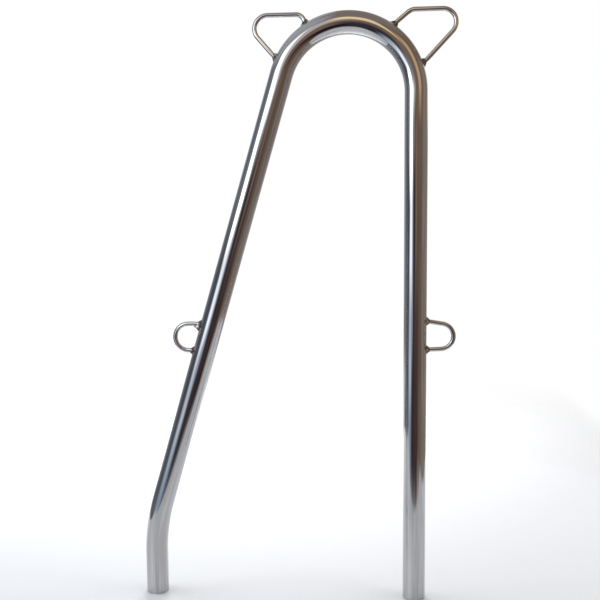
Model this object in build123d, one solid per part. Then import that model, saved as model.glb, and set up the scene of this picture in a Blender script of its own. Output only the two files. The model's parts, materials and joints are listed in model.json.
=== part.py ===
from build123d import *
import math
import os
from dataclasses import dataclass

# Gate stanchion: one tube bent into a leaning inverted U, with four eyes of bent rod welded to it.
# Millimetres and degrees. The origin is at the bottom of the straight leg, on its axis, +Z is up
# along that leg, and every centreline lies in the XZ plane, with the brace leg towards -X.

# The tube
TUBE_RADIUS = 12.5
TUBE_WALL = 1.5
LEG_STRAIGHT = 562.0  # foot of the straight leg to the start of the crown
CROWN_RADIUS = 74.0
BRACE_ANGLE = 16.5  # lean of the brace leg from upright
FOOT_BEND_RADIUS = 210.0
FOOT = 47.0  # upright end of each leg, which a deck base takes
END_BREAK = 0.3  # bevel on the sawn ends

# The eyes
ROD_RADIUS = 2.5
ROD_BITE = 5.0  # how far a rod runs on inside the tube's outline before it is trimmed there
EYE_BEND_RADIUS = 14.0


@dataclass
class UpperEye:
    """A bow over one shoulder of the crown, with a level bar between its inner and outer corners."""

    bar_z: float
    inner_x: float
    outer_x: float
    inner_seat_angle: float  # where the rod ends sit on the crown, from +X
    outer_seat_angle: float
    inner_bend_radius: float


@dataclass
class LowerEye:
    """A D half way up a leg: two short legs and a round bend between them."""

    side: int  # +1 where the bend is on the +X side of its leg
    bend_x: float
    bend_z: float
    bend_radius: float
    upper_slope: float  # how far each short leg spreads from level on its way to the tube
    lower_slope: float


UPPER_EYES = {
    "upper_eye_left": UpperEye(645.4, -119.4, -190.3, 121.7, 153.5, 9.3),
    "upper_eye_right": UpperEye(647.7, -5.9, 59.8, 54.9, 20.0, EYE_BEND_RADIUS),
}
LOWER_EYES = {
    "lower_eye_left": LowerEye(-1, -252.7, 296.2, 15.0, 0.0, 0.0),
    "lower_eye_right": LowerEye(1, 27.7, 297.9, 14.1, 9.1, 3.1),
}

# The weld beads: stations up a bead, from inside the tube's skin to its toe on the rod
# (distance from the seat, share of the way from the tube's normal to the rod's line, radius)
WELD_STATIONS = ((-1.8, 0.0, 6.4), (0.0, 0.0, 5.1), (1.6, 0.5, 3.6), (3.5, 1.0, 2.75))

# Worked out from the above
LEAN_SIN = math.sin(math.radians(BRACE_ANGLE))
LEAN_COS = math.cos(math.radians(BRACE_ANGLE))
CROWN_CENTRE = Vector(-CROWN_RADIUS, 0, LEG_STRAIGHT)
BRACE_TOP = CROWN_CENTRE + Vector(-LEAN_COS, 0, LEAN_SIN) * CROWN_RADIUS
BRACE_STRAIGHT = (BRACE_TOP.Z - FOOT - FOOT_BEND_RADIUS * LEAN_SIN) / LEAN_COS
BRACE_FOOT_X = BRACE_TOP.X - BRACE_STRAIGHT * LEAN_SIN - FOOT_BEND_RADIUS * (1 - LEAN_COS)


@dataclass
class Seat:
    """Where a rod end meets the tube: the point, the tube's outward normal and the rod's way out."""

    point: Vector
    normal: Vector
    out: Vector


def bent_path():
    """The tube's centreline above the straight leg: the crown, the brace and the bend at its foot."""
    with BuildLine(Plane.XZ) as line:
        crown = JernArc((0, LEG_STRAIGHT), (0, 1), CROWN_RADIUS, 180 - BRACE_ANGLE)
        brace = PolarLine(crown @ 1, BRACE_STRAIGHT, direction=crown % 1)
        JernArc(brace @ 1, brace % 1, FOOT_BEND_RADIUS, BRACE_ANGLE)
    return line.wire()


def bar(radius):
    """A solid bar of this radius along the whole tube, from one foot to the other.

    Each foot is a plain cylinder. The straight run above its foot is lofted through three equal
    sections, so that its wall stays apart from the cylinder below, which is what a deck base takes.
    """
    disc = Circle(radius)
    foot = extrude(disc, FOOT)
    heights = (FOOT, (FOOT + LEG_STRAIGHT) / 2, LEG_STRAIGHT)
    leg = loft([Pos(0, 0, z) * disc for z in heights])
    bent = sweep(Pos(0, 0, LEG_STRAIGHT) * disc, path=bent_path())
    return foot + leg + bent + Pos(BRACE_FOOT_X, 0, 0) * foot


def make_tube(outline):
    """The bent tube, open at both feet, with its sawn ends bevelled."""
    tube = outline - bar(TUBE_RADIUS - TUBE_WALL)
    rims = tube.faces().filter_by(Plane.XY).edges().filter_by(GeomType.CIRCLE)
    return chamfer(rims, END_BREAK)


def make_rod(path, outline):
    """A round rod swept along a path, with its ends trimmed to the tube's skin."""
    section = Plane(origin=path @ 0, z_dir=path % 0) * Circle(ROD_RADIUS)
    return sweep(section, path=path) - outline


def crown_seat(angle, corner):
    """The seat on the crown's outer side at this angle, for a rod that runs straight to a corner."""
    across = math.radians(angle)
    normal = Vector(math.cos(across), 0, math.sin(across))
    point = CROWN_CENTRE + normal * (CROWN_RADIUS + TUBE_RADIUS)
    return Seat(point, normal, (corner - point).normalized())


def upper_eye(eye, outline):
    """The rod of an upper eye and its two seats."""
    inner = Vector(eye.inner_x, 0, eye.bar_z)
    outer = Vector(eye.outer_x, 0, eye.bar_z)
    seats = [crown_seat(eye.inner_seat_angle, inner), crown_seat(eye.outer_seat_angle, outer)]
    ends = [seat.point - seat.out * ROD_BITE for seat in seats]
    radii = [eye.inner_bend_radius, EYE_BEND_RADIUS]
    path = FilletPolyline(ends[0], inner, outer, ends[1], radius=radii).wire()
    return make_rod(path, outline), seats


def leg_seat(eye, start, out):
    """The seat on the side of a leg, for a rod that reaches it from start against its way out."""
    if eye.side > 0:
        axis_point, normal = Vector(0, 0, 0), Vector(1, 0, 0)
    else:
        axis_point, normal = BRACE_TOP, Vector(-LEAN_COS, 0, LEAN_SIN)
    reach = ((start - axis_point).dot(normal) - TUBE_RADIUS) / out.dot(normal)
    return Seat(start - out * reach, normal, out)


def lower_eye(eye, outline):
    """The rod of a lower eye and its two seats, upper one first."""
    centre = Vector(eye.bend_x, 0, eye.bend_z)
    bend_ends, seats = [], []
    for way, slope in ((1, eye.upper_slope), (-1, eye.lower_slope)):
        rise = math.radians(slope)
        to_end = Vector(eye.side * math.sin(rise), 0, way * math.cos(rise))
        out = Vector(eye.side * math.cos(rise), 0, -way * math.sin(rise))
        bend_ends.append(centre + to_end * eye.bend_radius)
        seats.append(leg_seat(eye, bend_ends[-1], out))
    ends = [seat.point - seat.out * ROD_BITE for seat in seats]
    tip = centre + Vector(eye.side * eye.bend_radius, 0, 0)
    bend = ThreePointArc(bend_ends[0], tip, bend_ends[1])
    path = Wire([Line(ends[0], bend_ends[0]), bend, Line(bend_ends[1], ends[1])])
    return make_rod(path, outline), seats


def weld_bead(seat, outline, rod):
    """A concave bead that flares from the rod down to the tube, trimmed to both."""
    sections = []
    for distance, share, radius in WELD_STATIONS:
        axis = (seat.normal * (1 - share) + seat.out * share).normalized()
        station = Plane(origin=seat.point + axis * distance, x_dir=(0, 1, 0), z_dir=axis)
        sections.append(station * Circle(radius))
    return loft(sections) - outline - rod


def eye_parts(name, rod, seats, ends, outline):
    """One eye's node and the nodes of its two beads."""
    parts = {name: rod}
    place = name.replace("eye_", "")
    for end, seat in zip(ends, seats):
        parts[f"weld_{place}_{end}"] = weld_bead(seat, outline, rod)
    return parts


def main():
    outline = bar(TUBE_RADIUS)
    parts = {"frame_tube": make_tube(outline)}
    for name, eye in UPPER_EYES.items():
        rod, seats = upper_eye(eye, outline)
        parts |= eye_parts(name, rod, seats, ("inner", "outer"), outline)
    for name, eye in LOWER_EYES.items():
        rod, seats = lower_eye(eye, outline)
        parts |= eye_parts(name, rod, seats, ("top", "bottom"), outline)
    os.makedirs("parts", exist_ok=True)
    for name, part in parts.items():
        export_step(part, f"parts/{name}.step")


main()
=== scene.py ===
import json
import math
from dataclasses import dataclass

import bmesh
import bpy
from mathutils import Matrix, Vector

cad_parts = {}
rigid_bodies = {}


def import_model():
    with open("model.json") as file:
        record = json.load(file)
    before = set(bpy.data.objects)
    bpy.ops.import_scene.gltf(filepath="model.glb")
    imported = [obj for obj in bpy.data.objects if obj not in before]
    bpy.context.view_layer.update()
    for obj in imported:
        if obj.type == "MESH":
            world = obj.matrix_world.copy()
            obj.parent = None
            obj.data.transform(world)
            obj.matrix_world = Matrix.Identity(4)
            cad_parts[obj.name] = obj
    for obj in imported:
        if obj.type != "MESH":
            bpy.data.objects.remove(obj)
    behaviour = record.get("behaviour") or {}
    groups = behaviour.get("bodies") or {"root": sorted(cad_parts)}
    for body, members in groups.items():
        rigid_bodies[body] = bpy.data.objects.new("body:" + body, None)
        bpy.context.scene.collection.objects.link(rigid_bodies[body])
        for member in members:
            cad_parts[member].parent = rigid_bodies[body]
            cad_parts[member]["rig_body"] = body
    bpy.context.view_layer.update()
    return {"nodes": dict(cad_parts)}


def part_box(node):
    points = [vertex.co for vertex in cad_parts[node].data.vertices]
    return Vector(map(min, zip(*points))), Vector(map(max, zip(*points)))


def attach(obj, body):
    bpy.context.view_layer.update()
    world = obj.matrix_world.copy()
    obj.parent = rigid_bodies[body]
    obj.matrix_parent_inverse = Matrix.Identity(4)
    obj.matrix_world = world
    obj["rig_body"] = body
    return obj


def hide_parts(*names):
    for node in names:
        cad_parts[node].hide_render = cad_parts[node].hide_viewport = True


# The looks of the gate stanchion: a mirror-polished tube, four eyes of bent rod and their welds,
# in a plain studio. Shapes are worked out in millimetres, in the CAD's frame, and become metres in
# add_piece. Angles are in degrees, anticlockwise as seen from the front, from +X.
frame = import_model()
MM = 0.001

# The tube: its radius and its height are read from its box, and the rest repeats the CAD's values
TUBE_NODE = "frame_tube"
tube_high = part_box(TUBE_NODE)[1] / MM
TUBE_RADIUS = tube_high.y
TUBE_WALL = 1.5
BORE_RADIUS = TUBE_RADIUS - TUBE_WALL
END_BREAK = 0.3  # bevel on the sawn ends
CROWN_RADIUS = 74.0
BRACE_ANGLE = 16.5  # lean of the brace leg from upright
FOOT_BEND_RADIUS = 210.0
FOOT = 47.0  # upright end of the brace leg
LEG_STRAIGHT = tube_high.z - TUBE_RADIUS - CROWN_RADIUS

# The eyes
ROD_RADIUS = 2.5
EYE_BEND_RADIUS = 14.0

# How finely the round pieces are drawn: sides round each one, and steps along it
TUBE_SIDES = 128
ROD_SIDES = 48
BEAD_SIDES = 144
BEAD_STEPS = 14
RUN_STEP = 8.0  # millimetres of a straight run
TUBE_TURN_STEP = 1.5  # degrees of a bend
ROD_TURN_STEP = 5.0

# The weld beads
BEAD_FLARE = 2.9  # how far a bead spreads over the tube around its rod
BEAD_REACH = 3.5  # how far it climbs the rod
BEAD_HOLLOW = 0.45  # from a straight bevel, 0, to a quarter round fillet, 1
FULL_BEAD = "weld_lower_left_top"  # fills the corner under its rod, further than its CAD solid
FULL_BEAD_SPREAD = 1.3  # how much further it spreads there, as a share
BEAD_RIPPLES = 19
BEAD_RIPPLE_DEPTH = 0.10  # as a share of the bead's thickness
BEAD_RIPPLE_SLANT = 2.0  # how far a ripple leans round the rod as it climbs
SINK = 0.5  # how far a rod's end, and the top of a bead, is let into the metal under it
TOE_SINK = 1.0  # how far a bead's skirt goes under the tube's skin
HEAT_SPREAD = 9.0  # how far the straw tint reaches from a weld


@dataclass
class UpperEye:
    """A bow over one shoulder of the crown, with a level bar between its inner and outer corners."""

    bar_z: float
    inner_x: float
    outer_x: float
    inner_seat_angle: float  # where the rod ends sit on the crown
    outer_seat_angle: float
    inner_bend_radius: float


@dataclass
class LowerEye:
    """A D half way up a leg: two short legs and a round bend between them."""

    side: int  # +1 where the bend is on the +X side of its leg
    bend_x: float
    bend_z: float
    bend_radius: float
    upper_slope: float  # how far each short leg spreads from level on its way to the tube
    lower_slope: float


UPPER_EYES = {
    "upper_eye_left": UpperEye(645.4, -119.4, -190.3, 121.7, 153.5, 9.3),
    "upper_eye_right": UpperEye(647.7, -5.9, 59.8, 54.9, 20.0, EYE_BEND_RADIUS),
}
LOWER_EYES = {
    "lower_eye_left": LowerEye(-1, -252.7, 296.2, 15.0, 0.0, 0.0),
    "lower_eye_right": LowerEye(1, 27.7, 297.9, 14.1, 9.1, 3.1),
}


def heading(angle):
    """The unit vector in the XZ plane at this angle."""
    across = math.radians(angle)
    return Vector((math.cos(across), 0, math.sin(across)))


def angle_of(direction):
    """The angle of a vector in the XZ plane, from -180 to 180."""
    return math.degrees(math.atan2(direction.z, direction.x))


CROWN_CENTRE = Vector((-CROWN_RADIUS, 0, LEG_STRAIGHT))
CROWN_TURN = 180 - BRACE_ANGLE
BRACE_TOP = CROWN_CENTRE + heading(CROWN_TURN) * CROWN_RADIUS
BRACE_DOWN = heading(CROWN_TURN + 90)
BRACE_STRAIGHT = (BRACE_TOP.z - FOOT + FOOT_BEND_RADIUS * BRACE_DOWN.x) / -BRACE_DOWN.z


def tube_axis_point(point):
    """The nearest point of the tube's centreline, for a point above the bend at the brace's foot."""
    spoke = Vector((point.x, 0, point.z)) - CROWN_CENTRE
    if 0 <= angle_of(spoke) <= CROWN_TURN:
        return CROWN_CENTRE + spoke.normalized() * CROWN_RADIUS
    if point.x > CROWN_CENTRE.x:
        return Vector((0, 0, point.z))
    return BRACE_TOP + BRACE_DOWN * (point - BRACE_TOP).dot(BRACE_DOWN)


def under_skin(point, depth):
    """The point moved straight to or from the tube's centreline, to this depth under its skin."""
    axis = tube_axis_point(point)
    return axis + (point - axis).normalized() * (TUBE_RADIUS - depth)


# Centrelines and swept bars


@dataclass
class Station:
    """A place on a centreline: the point, the angle it heads in, and its distance from the start."""

    point: Vector
    angle: float
    along: float


class Path:
    """A centreline in the XZ plane, drawn as straight runs and the bends between them."""

    def __init__(self, point, angle, turn_step):
        self.stations = [Station(point, angle, 0)]
        self.turn_step = turn_step

    def forward(self, length):
        """A straight run."""
        start = self.stations[-1]
        count = math.ceil(length / RUN_STEP)
        for i in range(1, count + 1):
            gone = length * i / count
            point = start.point + heading(start.angle) * gone
            self.stations.append(Station(point, start.angle, start.along + gone))

    def turn(self, radius, angle):
        """A bend through this angle, anticlockwise where it is positive."""
        start = self.stations[-1]
        to_centre = heading(start.angle + math.copysign(90, angle)) * radius
        count = math.ceil(abs(angle) / self.turn_step)
        for i in range(1, count + 1):
            turned = angle * i / count
            # +Y points away from the front, so a turn about it is clockwise from there
            spoke = Matrix.Rotation(math.radians(-turned), 3, "Y") @ -to_centre
            point = start.point + to_centre + spoke
            along = start.along + math.radians(abs(turned)) * radius
            self.stations.append(Station(point, start.angle + turned, along))


def tube_path():
    """The tube's centreline from the straight leg's foot to the brace's."""
    path = Path(Vector((0, 0, 0)), 90, TUBE_TURN_STEP)
    path.forward(LEG_STRAIGHT)
    path.turn(CROWN_RADIUS, CROWN_TURN)
    path.forward(BRACE_STRAIGHT)
    path.turn(FOOT_BEND_RADIUS, BRACE_ANGLE)
    path.forward(FOOT)
    return path


def spokes(sides):
    """(cosine, sine) once round a circle."""
    turns = [2 * math.pi * i / sides for i in range(sides)]
    return [(math.cos(turn), math.sin(turn)) for turn in turns]


def ring(station, radius, sides):
    """A circle round a station of a centreline, and where it would be if the bar were straight."""
    across = heading(station.angle - 90)
    round_bar, straightened = [], []
    for cosine, sine in spokes(sides):
        round_bar.append(station.point + across * (radius * cosine) + Vector((0, radius * sine, 0)))
        straightened.append(Vector((radius * cosine, radius * sine, station.along)))
    return round_bar, straightened


def stitch(mesh, rings, closed):
    """Faces between neighbouring rings. The last joins the first if closed, or else both are capped."""
    made = [[mesh.verts.new(point) for point in points] for points in rings]
    pairs = list(zip(made, made[1:]))
    if closed:
        pairs.append((made[-1], made[0]))
    else:
        mesh.faces.new(made[0])
        mesh.faces.new(made[-1])
    for low, high in pairs:
        for i in range(len(low)):
            mesh.faces.new((low[i - 1], low[i], high[i], high[i - 1]))


# Pieces

SHARP_EDGE = 30  # edges that turn by more than this are not smoothed


def mesh_data(name, mesh):
    """The finished mesh under its name. Its working copy is freed."""
    data = bpy.data.meshes.new(name)
    mesh.to_mesh(data)
    mesh.free()
    return data


def new_object(name, data):
    """An object with this data, in the scene."""
    made = bpy.data.objects.new(name, data)
    bpy.context.scene.collection.objects.link(made)
    return made


def add_piece(name, rings, closed, seats, straightened=None):
    """A mesh from rings in millimetres, with what its material reads kept on its vertices."""
    mesh = bmesh.new()
    stitch(mesh, rings, closed)
    bmesh.ops.recalc_face_normals(mesh, faces=mesh.faces)
    for face in mesh.faces:
        face.smooth = True
    for edge in mesh.edges:
        edge.smooth = edge.calc_face_angle() < math.radians(SHARP_EDGE)
    data = mesh_data(name, mesh)
    add_heat(data, seats)
    if straightened:
        add_straightened(data, straightened)
    data.transform(Matrix.Scale(MM, 4))
    return new_object(name, data)


def add_heat(data, seats):
    """How much a weld has tinted each vertex, from 1 at a seat to nothing away from it."""
    heat = data.attributes.new("heat", "FLOAT", "POINT")
    for vertex, tint in zip(data.vertices, heat.data):
        nearest = min((vertex.co - seat.point).length for seat in seats)
        tint.value = math.exp(-((nearest / HEAT_SPREAD) ** 2))


def add_straightened(data, rings):
    """Each vertex's place on the unbent bar in metres, so that polishing marks follow the bends."""
    attribute = data.attributes.new("straightened", "FLOAT_VECTOR", "POINT")
    points = [point for points in rings for point in points]
    for place, point in zip(attribute.data, points):
        place.vector = point * MM


def tube_piece(name, seats):
    """The tube: its skin from foot to foot, then its bore back again, with bevelled sawn ends."""
    path = tube_path()
    first, last = path.stations[0], path.stations[-1]
    first_edge = Station(first.point + heading(90) * END_BREAK, 90, END_BREAK)
    last_edge = Station(last.point + heading(90) * END_BREAK, last.angle, last.along - END_BREAK)
    wall = [first_edge, *path.stations[1:-1], last_edge]
    skin = [ring(station, TUBE_RADIUS, TUBE_SIDES) for station in wall]
    bore = [ring(station, BORE_RADIUS, TUBE_SIDES) for station in reversed(wall)]
    last_rim = [
        ring(last, TUBE_RADIUS - END_BREAK, TUBE_SIDES),
        ring(last, BORE_RADIUS + END_BREAK, TUBE_SIDES),
    ]
    first_rim = [
        ring(first, BORE_RADIUS + END_BREAK, TUBE_SIDES),
        ring(first, TUBE_RADIUS - END_BREAK, TUBE_SIDES),
    ]
    bars, straightened = zip(*skin, *last_rim, *bore, *first_rim)
    return add_piece(name, bars, True, seats, straightened)


@dataclass
class Seat:
    """Where a rod end meets the tube: the point, the tube's outward normal and the rod's way out."""

    point: Vector
    normal: Vector
    out: Vector


def crown_seat(angle, corner):
    """The seat on the crown's outer side at this angle, for a rod that runs straight to a corner."""
    normal = heading(angle)
    point = CROWN_CENTRE + normal * (CROWN_RADIUS + TUBE_RADIUS)
    return Seat(point, normal, (corner - point).normalized())


def rounded_path(corners, radii):
    """A centreline through the first and last corner that rounds each one between."""
    sides = [end - start for start, end in zip(corners, corners[1:])]
    path = Path(corners[0], angle_of(sides[0]), ROD_TURN_STEP)
    trimmed = 0
    for before, after, radius in zip(sides, sides[1:], radii):
        turn = (angle_of(after) - angle_of(before) + 180) % 360 - 180
        trim = radius * math.tan(math.radians(abs(turn) / 2))
        path.forward(before.length - trimmed - trim)
        path.turn(radius, turn)
        trimmed = trim
    path.forward(sides[-1].length - trimmed)
    return path


def upper_eye(eye):
    """The centreline of an upper eye's rod and its two seats, the inner one first."""
    inner = Vector((eye.inner_x, 0, eye.bar_z))
    outer = Vector((eye.outer_x, 0, eye.bar_z))
    seats = [crown_seat(eye.inner_seat_angle, inner), crown_seat(eye.outer_seat_angle, outer)]
    corners = [seats[0].point, inner, outer, seats[1].point]
    return rounded_path(corners, [eye.inner_bend_radius, EYE_BEND_RADIUS]), seats


def leg_seat(eye, start, out):
    """The seat on the side of a leg, for a rod that reaches it from start against its way out."""
    if eye.side > 0:
        axis_point, normal = Vector((0, 0, 0)), heading(0)
    else:
        axis_point, normal = BRACE_TOP, heading(CROWN_TURN)
    reach = ((start - axis_point).dot(normal) - TUBE_RADIUS) / out.dot(normal)
    return Seat(start - out * reach, normal, out)


def lower_eye(eye):
    """The centreline of a lower eye's rod and its two seats, the upper one first."""
    centre = Vector((eye.bend_x, 0, eye.bend_z))
    bend_ends, seats = [], []
    for way, slope in ((1, eye.upper_slope), (-1, eye.lower_slope)):
        rise = math.radians(slope)
        to_end = Vector((eye.side * math.sin(rise), 0, way * math.cos(rise)))
        out = Vector((eye.side * math.cos(rise), 0, -way * math.sin(rise)))
        bend_ends.append(centre + to_end * eye.bend_radius)
        seats.append(leg_seat(eye, bend_ends[-1], out))
    path = Path(seats[0].point, angle_of(seats[0].out), ROD_TURN_STEP)
    path.forward((bend_ends[0] - seats[0].point).length)
    path.turn(eye.bend_radius, -eye.side * (180 - eye.upper_slope - eye.lower_slope))
    path.forward((seats[1].point - bend_ends[1]).length)
    return path, seats


def rod_piece(name, path, seats):
    """The bent rod of an eye, its ends let into the tube's skin."""
    rings = [ring(station, ROD_RADIUS, ROD_SIDES) for station in path.stations]
    bars, straightened = map(list, zip(*rings))
    for end in (0, -1):
        bars[end] = [under_skin(point, SINK) for point in bars[end]]
    return add_piece(name, bars, False, seats, straightened)


def bead_marks(seat, cosine, sine, fullness):
    """In one direction round a rod: its corner with the tube, and the bead's toe and top."""
    tube_way = heading(angle_of(seat.normal) - 90)
    rod_way = heading(angle_of(seat.out) - 90)
    below = max(0, -rod_way.z * cosine)
    spread = 1 + fullness * below**2
    sideways = Vector((0, sine, 0))
    rod_side = rod_way * cosine + sideways
    # From the seat, how far along the rod this side of it meets the tube
    run = -rod_side.dot(seat.normal) / seat.out.dot(seat.normal) * ROD_RADIUS
    corner = under_skin(seat.point + rod_side * ROD_RADIUS + seat.out * run, 0)
    toe = under_skin(corner + (tube_way * cosine + sideways) * BEAD_FLARE * spread, 0)
    top = seat.point + rod_side * ROD_RADIUS + seat.out * (run + BEAD_REACH * spread)
    return corner, toe, top


def hollowed(concave, straight):
    """A bead's profile: between a quarter round fillet, which is concave, and a straight bevel."""
    return concave * BEAD_HOLLOW + straight * (1 - BEAD_HOLLOW)


def bead_profile(corner, toe, top, turn):
    """The bead's skin from toe to top, at this turn round the rod. Its ripples die out at both."""
    profile = []
    for i in range(BEAD_STEPS + 1):
        share = i / BEAD_STEPS
        climb = math.radians(90 * share)
        wave = math.cos(BEAD_RIPPLES * turn + BEAD_RIPPLE_SLANT * climb)
        swell = 1 + BEAD_RIPPLE_DEPTH * wave * math.sin(2 * climb)
        flare = (toe - corner) * hollowed(1 - math.sin(climb), 1 - share)
        reach = (top - corner) * hollowed(1 - math.cos(climb), share)
        profile.append(corner + (flare + reach) * swell)
    return profile


def bead_piece(name, seat, seats, fullness):
    """A weld bead: a concave fillet from the tube up the rod, with the ripples of its passes.

    Its fullness is how much further it spreads below the rod than above it. A skirt under the
    toe and a lip round the top are let into the tube and the rod.
    """
    lines = []
    for side, (cosine, sine) in enumerate(spokes(BEAD_SIDES)):
        corner, toe, top = bead_marks(seat, cosine, sine, fullness)
        profile = bead_profile(corner, toe, top, 2 * math.pi * side / BEAD_SIDES)
        axis = seat.point + seat.out * (top - seat.point).dot(seat.out)
        lines.append([under_skin(toe, TOE_SINK), *profile, top.lerp(axis, SINK / ROD_RADIUS)])
    return add_piece(name, list(zip(*lines)), False, seats)


# Materials

# A Mix node's colour sockets, by number because they share their names with its other sockets
MIX_FIRST = 6
MIX_SECOND = 7
MIX_RESULT = 2


@dataclass
class Grain:
    """A noise: how fine it is, and how many octaves of finer detail are on it."""

    scale: float
    detail: float
    along: float = 1.0  # how fine it is along Z, as a share of how fine it is across


class Nodes:
    """Adds nodes to one tree, and gives back their outputs.

    A socket is set or linked by its name, or by its number where others have the same name.
    """

    def __init__(self, tree):
        self.tree = tree

    def add(self, kind, inputs=(), output=0, **settings):
        """A new node of this kind. Its output comes back, or None where it has none."""
        made = self.tree.nodes.new("ShaderNode" + kind)
        for name, value in settings.items():
            setattr(made, name, value)
        for name, value in dict(inputs).items():
            if isinstance(value, bpy.types.NodeSocket):
                self.tree.links.new(value, made.inputs[name])
            else:
                made.inputs[name].default_value = value
        return made.outputs[output] if made.outputs else None

    def wire(self, value, socket):
        """Links an output to a shader's own socket."""
        self.tree.links.new(value, socket)

    def place(self):
        """A point's place on its own object, in metres."""
        return self.add("TexCoord", output="Object")

    def split(self, vector):
        """The vector's three parts."""
        parts = self.tree.nodes.new("ShaderNodeSeparateXYZ")
        self.tree.links.new(vector, parts.inputs[0])
        return parts.outputs

    def maths(self, operation, first, second=0.0, third=0.0):
        """One operation on up to three values."""
        inputs = {0: first, 1: second, 2: third}
        return self.add("Math", inputs, operation=operation)

    def noise(self, place, grain):
        """The grain's noise at this place."""
        squeeze = (1.0, 1.0, grain.along)
        squeezed = self.add("VectorMath", {0: place, 1: squeeze}, operation="MULTIPLY")
        inputs = {"Vector": squeezed, "Scale": grain.scale, "Detail": grain.detail}
        return self.add("TexNoise", inputs)

    def ranged(self, value, low, high, to_low=0.0, to_high=1.0):
        """The value between low and high, smoothly to another range, and level outside it."""
        source = {"Value": value, "From Min": low, "From Max": high}
        target = {"To Min": to_low, "To Max": to_high}
        return self.add("MapRange", source | target, interpolation_type="SMOOTHSTEP")

    def mixed(self, factor, first, second):
        """A colour between two, from the first at 0 to the second at 1."""
        inputs = {"Factor": factor, MIX_FIRST: first, MIX_SECOND: second}
        return self.add("Mix", inputs, output=MIX_RESULT, data_type="RGBA")

    def bump(self, height, relief, under=None):
        """The normal of this relief, over the normal under it."""
        strength, depth = relief
        inputs = {"Height": height, "Strength": strength, "Distance": depth}
        if under is not None:
            inputs["Normal"] = under
        return self.add("Bump", inputs)


def colour(red, green, blue):
    """An opaque colour."""
    return (red, green, blue, 1.0)


def new_material(name):
    """A new material, its node adder, and its Principled shader's sockets."""
    material = bpy.data.materials.new(name)
    material.use_nodes = True
    shader = material.node_tree.nodes["Principled BSDF"]
    return material, Nodes(material.node_tree), shader.inputs


@dataclass
class Finish:
    """How one kind of bar is polished."""

    steel: tuple
    cool: tuple  # its cooler patches
    roughness: float
    smudged: float  # its roughness where it is smudged
    tint: float  # how much of the welds' straw it takes


TUBE_FINISH = Finish(colour(0.56, 0.56, 0.56), colour(0.52, 0.52, 0.54), 0.035, 0.10, 0.35)
ROD_FINISH = Finish(colour(0.60, 0.59, 0.585), colour(0.54, 0.54, 0.55), 0.05, 0.12, 0.9)

# What is on a polished bar. Each of the three spans is the part of a noise's range over which its
# effect comes in, and each relief is a strength and a depth in metres.
CLOUDS = Grain(45.0, 4.0, along=0.4)  # the smudges and cool patches
LINES = Grain(1400.0, 3.0, along=0.012)  # the finest polishing lines
STREAKS = Grain(420.0, 2.0, along=0.03)  # the coarser ones
WAVES = Grain(70.0, 1.0, along=0.12)  # the slow unevenness of the skin
COOL_SPAN = (0.3, 0.7)
SMUDGE_SPAN = (0.42, 0.68)
STREAK_SPAN = (0.35, 0.65)
STREAK_DULLNESS = 0.8
LINE_ROUGHNESS = 0.02
LINE_RELIEF = (0.015, 0.0001)
STREAK_RELIEF = (0.06, 0.0001)
WAVE_RELIEF = (0.35, 0.0003)
STRAW = colour(0.54, 0.39, 0.23)
DULL = colour(0.44, 0.43, 0.43)


def polished_colour(nodes, finish, clouds, streaks):
    """The steel's colour: cooler in patches, duller on the streaks and straw at the welds."""
    polished = nodes.mixed(nodes.ranged(clouds, *COOL_SPAN), finish.steel, finish.cool)
    dullness = nodes.ranged(streaks, *STREAK_SPAN, 0.0, STREAK_DULLNESS)
    streaked = nodes.mixed(dullness, polished, DULL)
    heat = nodes.add("Attribute", attribute_name="heat", output="Fac")
    return nodes.mixed(nodes.maths("MULTIPLY", heat, finish.tint), streaked, STRAW)


def polished_roughness(nodes, finish, clouds, lines):
    """The steel's roughness, which is greater where it is smudged and on the lines."""
    smudges = nodes.ranged(clouds, *SMUDGE_SPAN)
    added = finish.smudged - finish.roughness
    worn = nodes.maths("MULTIPLY_ADD", smudges, added, finish.roughness)
    return nodes.maths("MULTIPLY_ADD", lines, LINE_ROUGHNESS, worn)


def polished_steel(name, finish):
    """Mirror-polished stainless: soft smudges, faint polishing lines along the bar, straw at welds."""
    material, nodes, sockets = new_material(name)
    sockets["Metallic"].default_value = 1.0
    place = nodes.add("Attribute", attribute_name="straightened", output="Vector")
    clouds = nodes.noise(place, CLOUDS)
    lines = nodes.noise(place, LINES)
    streaks = nodes.noise(place, STREAKS)
    nodes.wire(polished_colour(nodes, finish, clouds, streaks), sockets["Base Color"])
    nodes.wire(polished_roughness(nodes, finish, clouds, lines), sockets["Roughness"])
    normal = nodes.bump(lines, LINE_RELIEF)
    normal = nodes.bump(streaks, STREAK_RELIEF, normal)
    normal = nodes.bump(nodes.noise(place, WAVES), WAVE_RELIEF, normal)
    nodes.wire(normal, sockets["Normal"])
    return material


# What is on a weld: the two spans are of its patches, for the brown and for the roughness
WELD_PATCHES = Grain(350.0, 3.0)
WELD_GRAIN = Grain(3500.0, 2.0)
WELD_RELIEF = (0.25, 0.0001)
WELD_GREY = colour(0.46, 0.43, 0.40)
WELD_BROWN = colour(0.12, 0.09, 0.065)
BROWN_SPAN = (0.40, 0.60)
ROUGH_SPAN = (0.3, 0.75)
WELD_ROUGHNESS = (0.08, 0.20)  # least and most


def weld_steel(name):
    """Buffed weld metal: duller than the bars, burnt brown in patches, with a fine grain."""
    material, nodes, sockets = new_material(name)
    sockets["Metallic"].default_value = 1.0
    place = nodes.place()
    patches = nodes.noise(place, WELD_PATCHES)
    brown = nodes.ranged(patches, *BROWN_SPAN)
    nodes.wire(nodes.mixed(brown, WELD_GREY, WELD_BROWN), sockets["Base Color"])
    nodes.wire(nodes.ranged(patches, *ROUGH_SPAN, *WELD_ROUGHNESS), sockets["Roughness"])
    grain = nodes.noise(place, WELD_GRAIN)
    nodes.wire(nodes.bump(grain, WELD_RELIEF), sockets["Normal"])
    return material


# The object


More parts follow.
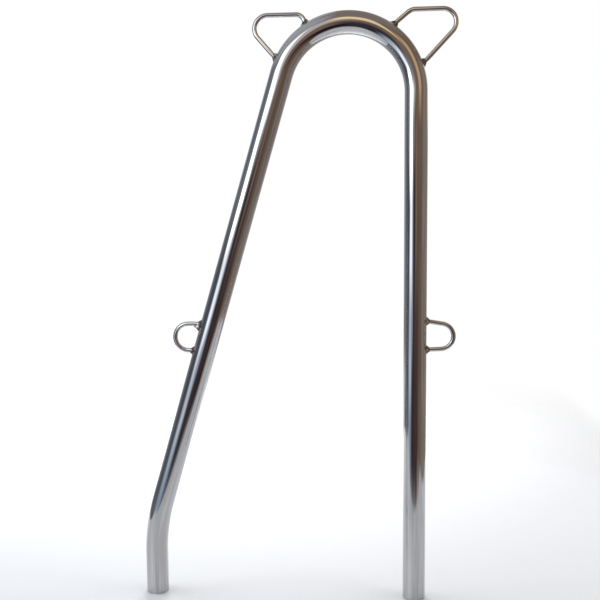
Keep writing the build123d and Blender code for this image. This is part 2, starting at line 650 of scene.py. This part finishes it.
def place_piece(piece, node, material):
    """The piece stands for one CAD node and rides on its body."""
    piece.data.materials.append(material)
    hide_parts(node)
    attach(piece, frame["nodes"][node]["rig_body"])


def all_eyes():
    """Each eye's centreline, its two seats and what its two ends are called."""
    eyes = {}
    for name, eye in UPPER_EYES.items():
        eyes[name] = (*upper_eye(eye), ("inner", "outer"))
    for name, eye in LOWER_EYES.items():
        eyes[name] = (*lower_eye(eye), ("top", "bottom"))
    return eyes


def make_object():
    """Every piece, each in the place of the CAD node it is named after."""
    tube_steel = polished_steel("polished tube", TUBE_FINISH)
    rod_steel = polished_steel("polished rod", ROD_FINISH)
    weld_metal = weld_steel("weld metal")
    eyes = all_eyes()
    all_seats = [seat for _, seats, _ in eyes.values() for seat in seats]
    place_piece(tube_piece("tube", all_seats), TUBE_NODE, tube_steel)
    for name, (path, seats, ends) in eyes.items():
        place_piece(rod_piece(f"rod_{name}", path, seats), name, rod_steel)
        for end, seat in zip(ends, seats):
            node = f"weld_{name.replace('eye_', '')}_{end}"
            fullness = FULL_BEAD_SPREAD if node == FULL_BEAD else 0
            bead = bead_piece(node.replace("weld", "bead"), seat, seats, fullness)
            place_piece(bead, node, weld_metal)


# The studio


@dataclass
class Card:
    """A soft-edged patch of the surroundings, as the steel sees them.

    Azimuths run from the front (0) to the right (90), and elevations up from level, both as seen
    from the middle of the dome that the cards are on.
    """

    azimuths: tuple
    elevations: tuple
    light: tuple
    azimuth_blur: float
    elevation_blur: float


# The far room and the cards were set after what the steel reflects in the photograph, and
# they stand for the room around it only roughly.
FAR_FLOOR = (0.022, 0.016, 0.022)
FAR_LAYERS = (  # each layer of the far room: the elevations that it comes in over, and its light
    (-30, -10, (0.100, 0.066, 0.058)),  # the unlit floor
    (-14, 12, (0.270, 0.187, 0.137)),  # the warm room behind the camera
)

CARDS = (
    Card((-200, 200), (-110, -38), (0.72, 0.73, 0.78), 8, 16),  # pale floor all round the sheet
    Card((-200, 200), (58, 110), (0.34, 0.29, 0.265), 8, 16),  # the ceiling
    Card((46, 190), (-60, -26), (0.36, 0.31, 0.30), 24, 10),  # the floor's border, right
    Card((41, 190), (-36, 22), (0.23, 0.162, 0.12), 28, 16),  # a skirting and the wall over it
    Card((69, 190), (-36, 40), (0.34, 0.285, 0.25), 20, 10),  # the room's right side
    Card((36, 72), (-60, -30), (0.56, 0.475, 0.46), 20, 8),  # the sheet's edge, right
    Card((150, 230), (-60, 28), (0.62, 0.60, 0.59), 70, 10),  # pale wall behind, right
    Card((130, 220), (24, 58), (0.73, 0.70, 0.68), 26, 12),  # the top of it
    Card((123, 158), (20, 36), (1.20, 1.15, 1.10), 10, 8),  # its sunlit part
    Card((-190, -60), (-60, 44), (0.110, 0.122, 0.148), 20, 16),  # shaded wall on the left
    Card((-190, -130), (-60, 48), (0.61, 0.64, 0.69), 96, 12),  # pale wall behind, left
    Card((-200, -120), (-13, -9), (0.30, 0.31, 0.33), 60, 8),  # a skirting along it
    Card((-220, -131), (-60, -17), (0.93, 0.94, 0.98), 70, 6),  # pale floor below that
    Card((-130, -64), (-60, -23), (0.21, 0.195, 0.20), 24, 8),  # the floor's border, left
    Card((-190, -70), (46, 72), (0.53, 0.58, 0.65), 30, 20),  # the top of the left wall
    Card((-190, -8), (56, 80), (0.54, 0.56, 0.62), 24, 16),  # the ceiling's lighter side
    Card((-94, -62), (17, 44), (0.255, 0.285, 0.345), 16, 12),  # the wall beside the window
    Card((-72, -6), (-85, -43), (0.95, 0.97, 1.02), 20, 10),  # pale floor before the sheet
    Card((-66, -32), (-43, -12), (0.39, 0.51, 0.66), 24, 14),  # boards that the window lights
    Card((-60, -32), (-22, 0), (0.84, 0.94, 1.07), 16, 12),  # sill of the window
    Card((-36, -18), (-15, 22), (0.44, 0.54, 0.69), 14, 10),  # the blue shade beside it
    Card((-22, -6), (16, 34), (0.36, 0.38, 0.44), 10, 8),  # its curtain
    Card((-15, 3), (-34, 14), (0.055, 0.046, 0.056), 12, 10),  # the dark side of a cabinet
    Card((8, 20), (-2, 30), (0.32, 0.21, 0.155), 9, 14),  # its sunlit door
    Card((-14, 4), (25, 53), (0.80, 0.77, 0.76), 8, 8),  # a pale pillar
    Card((-55, -29), (-6, 16), (1.72, 1.80, 1.94), 16, 10),  # the foot of the window
    Card((-62, -29), (12, 41), (4.00, 4.00, 4.00), 14, 9),  # the window
    Card((-56, -14), (24, 52), (2.20, 2.30, 2.45), 12, 9),  # its right pane
    Card((32, 56), (22, 48), (0.82, 0.56, 0.34), 10, 8),  # a sunlit wooden cupboard
    Card((1, 26), (38, 56), (1.50, 1.16, 0.70), 8, 6),  # the light on its top
)

# The domes that the cards and the far room are on, in metres
DOME_CENTRE = (-0.15, 0.0, 0.35)
NEAR_RADIUS = 0.75  # near enough that each leg mirrors the cards from its own place
FAR_RADIUS = 6.0
DOME_SUBDIVISIONS = 5


def sky_direction(nodes):
    """The azimuth and elevation of a point of the dome, from its middle."""
    way = nodes.add("VectorMath", {0: nodes.place()}, operation="NORMALIZE")
    east, north, up = nodes.split(way)
    towards_front = nodes.maths("MULTIPLY", north, -1.0)
    azimuth = nodes.maths("DEGREES", nodes.maths("ARCTAN2", east, towards_front))
    elevation = nodes.maths("DEGREES", nodes.maths("ARCSINE", up))
    return azimuth, elevation


def inside(nodes, value, span, low_blur, high_blur):
    """1 between the ends of the span and 0 outside it, with a blur this wide over each end."""
    low, high = span
    rise = nodes.ranged(value, low - low_blur / 2, low + low_blur / 2)
    fall = nodes.ranged(value, high - high_blur / 2, high + high_blur / 2, 1.0, 0.0)
    return nodes.maths("MULTIPLY", rise, fall)


AMBIENT = colour(0.43, 0.44, 0.46)  # the light from all round
WHITE = colour(1.0, 1.0, 1.0)
BLACK = colour(0.0, 0.0, 0.0)


def make_world():
    """Plain soft light all round. The camera sees plain white behind the object."""
    world = bpy.data.worlds.new("studio")
    bpy.context.scene.world = world
    world.use_nodes = True
    world.node_tree.nodes.clear()
    nodes = Nodes(world.node_tree)
    seen = nodes.add("LightPath", output="Is Camera Ray")
    background = nodes.add("Background", {"Color": nodes.mixed(seen, AMBIENT, WHITE)})
    nodes.add("OutputWorld", {"Surface": background})


def new_glow(name):
    """An empty material for a dome, and its nodes. Its emission lights nothing by itself."""
    material = bpy.data.materials.new(name)
    material.use_nodes = True
    material.node_tree.nodes.clear()
    material.cycles.emission_sampling = "NONE"
    return material, Nodes(material.node_tree)


def card_light():
    """The light of the cards, each over those before it. Between them the far room shows through."""
    material, nodes = new_glow("card light")
    azimuth, elevation = sky_direction(nodes)
    light, clear = BLACK, 1.0
    for card in CARDS:
        wide, tall = card.azimuth_blur, card.elevation_blur
        across = inside(nodes, azimuth, card.azimuths, wide, wide)
        upright = inside(nodes, elevation, card.elevations, tall, tall)
        share = nodes.maths("MULTIPLY", across, upright)
        light = nodes.mixed(share, light, colour(*card.light))
        clear = nodes.maths("MULTIPLY", clear, nodes.maths("SUBTRACT", 1.0, share))
    glow = nodes.add("Emission", {"Color": light})
    gap = nodes.add("BsdfTransparent", {"Color": clear})
    nodes.add("OutputMaterial", {"Surface": nodes.add("AddShader", {0: glow, 1: gap})})
    return material


def far_light():
    """The light of the far room, in layers from the floor up."""
    material, nodes = new_glow("far light")
    _, elevation = sky_direction(nodes)
    light = colour(*FAR_FLOOR)
    for low, high, layer in FAR_LAYERS:
        light = nodes.mixed(nodes.ranged(elevation, low, high), light, colour(*layer))
    glow = nodes.add("Emission", {"Color": light})
    nodes.add("OutputMaterial", {"Surface": glow})
    return material


def stage_object(name, mesh, material):
    """An object of the studio."""
    data = mesh_data(name, mesh)
    data.materials.append(material)
    made = new_object(name, data)
    return made


def make_dome(name, radius, material):
    """Surroundings that only reflections pick up, at this distance from the domes' centre."""
    mesh = bmesh.new()
    bmesh.ops.create_icosphere(mesh, subdivisions=DOME_SUBDIVISIONS, radius=radius)
    dome = stage_object(name, mesh, material)
    dome.location = DOME_CENTRE
    dome.visible_camera = False
    dome.visible_diffuse = False
    dome.visible_transmission = False
    dome.visible_shadow = False


# The floor sheet in metres: where its edges are, and how wide a band each one fades out over
FLOOR_SIDES = (-0.71, 0.43)
FLOOR_DEPTH = (-0.31, 0.85)
FLOOR_FADE = 0.06
BACK_FADE = 0.90
FLOOR_GRID = 24

PAPER_FIBRES = Grain(60.0, 6.0)
PAPER_GREY = colour(0.84, 0.85, 0.87)
PAPER_WHITE = colour(0.87, 0.88, 0.89)
PAPER_ROUGHNESS = 0.40
PAPER_SPECULAR = 0.45


def make_floor():
    """A plain pale sheet that the feet stand on, fading out at its edges."""
    mesh = bmesh.new()
    left, right = FLOOR_SIDES[0] - FLOOR_FADE, FLOOR_SIDES[1] + FLOOR_FADE
    front, back = FLOOR_DEPTH[0] - FLOOR_FADE, FLOOR_DEPTH[1] + BACK_FADE
    middle = Vector(((left + right) / 2, (front + back) / 2, 0))
    fit = Matrix.Translation(middle) @ Matrix.Diagonal(((right - left) / 2, (back - front) / 2, 1, 1))
    bmesh.ops.create_grid(mesh, x_segments=FLOOR_GRID, y_segments=FLOOR_GRID, size=1, matrix=fit)
    stage_object("floor", mesh, floor_paper())


def floor_paper():
    """Satin white paper, faintly mottled, and see-through past the edges of the sheet."""
    material, nodes, sockets = new_material("floor paper")
    sockets["Roughness"].default_value = PAPER_ROUGHNESS
    sockets["Specular IOR Level"].default_value = PAPER_SPECULAR
    place = nodes.place()
    fibres = nodes.noise(place, PAPER_FIBRES)
    nodes.wire(nodes.mixed(fibres, PAPER_GREY, PAPER_WHITE), sockets["Base Color"])
    east, north, _ = nodes.split(place)
    across = inside(nodes, east, FLOOR_SIDES, FLOOR_FADE, FLOOR_FADE)
    deep = inside(nodes, north, FLOOR_DEPTH, FLOOR_FADE, BACK_FADE)
    nodes.wire(nodes.maths("MULTIPLY", across, deep), sockets["Alpha"])
    return material


@dataclass
class Lamp:
    """A soft square lamp: where it is and what it points at, in metres, its width and its watts."""

    name: str
    place: Vector
    aim: Vector
    width: float
    power: float


LAMPS = (
    Lamp("softbox left", Vector((-1.0, 0.1, 0.7)), Vector((-0.4, 0.0, 0.0)), 0.7, 4.0),
    Lamp("softbox right", Vector((0.7, 0.0, 0.7)), Vector((0.15, 0.0, 0.0)), 0.7, 3.0),
    Lamp("floor wash", Vector((-0.3, 0.95, 0.55)), Vector((-0.25, 0.9, 0.0)), 0.8, 9.0),
)


def make_light(lamp):
    """The lamp, which lights the floor and stays out of the steel's reflections."""
    data = bpy.data.lights.new(lamp.name, "AREA")
    data.shape = "SQUARE"
    data.size = lamp.width
    data.energy = lamp.power
    made = new_object(lamp.name, data)
    made.location = lamp.place
    made.rotation_euler = (lamp.aim - lamp.place).to_track_quat("-Z", "Y").to_euler()
    made.visible_glossy = False
    made.visible_camera = False


# The camera stands 0.9 m in front, two thirds of the way up the object, and looks down a little.
# Its place is in metres and its lens in millimetres. Its yaw is to the right of straight ahead,
# which is +Y, its pitch is up from level, and its roll is anticlockwise. All of them come from a fit
# to the object's outline in the photograph.
CAMERA_PLACE = Vector((-0.056176, -0.902681, 0.424727))
CAMERA_YAW = -4.46608
CAMERA_PITCH = -5.47587
CAMERA_ROLL = -0.45608
CAMERA_LENS = 49.2547


def make_camera():
    """The camera at the viewing angle of the photograph."""
    data = bpy.data.cameras.new("camera")
    data.lens = CAMERA_LENS
    camera = new_object("camera", data)
    yaw = Matrix.Rotation(math.radians(-CAMERA_YAW), 4, "Z")
    pitch = Matrix.Rotation(math.radians(90 + CAMERA_PITCH), 4, "X")
    roll = Matrix.Rotation(math.radians(CAMERA_ROLL), 4, "Z")
    camera.matrix_world = Matrix.Translation(CAMERA_PLACE) @ yaw @ pitch @ roll
    bpy.context.scene.camera = camera


def main():
    """The stanchion, its studio and its camera."""
    bpy.context.scene.view_settings.view_transform = "Standard"
    make_object()
    make_world()
    make_dome("near dome", NEAR_RADIUS, card_light())
    make_dome("far dome", FAR_RADIUS, far_light())
    make_floor()
    for lamp in LAMPS:
        make_light(lamp)
    make_camera()


main()
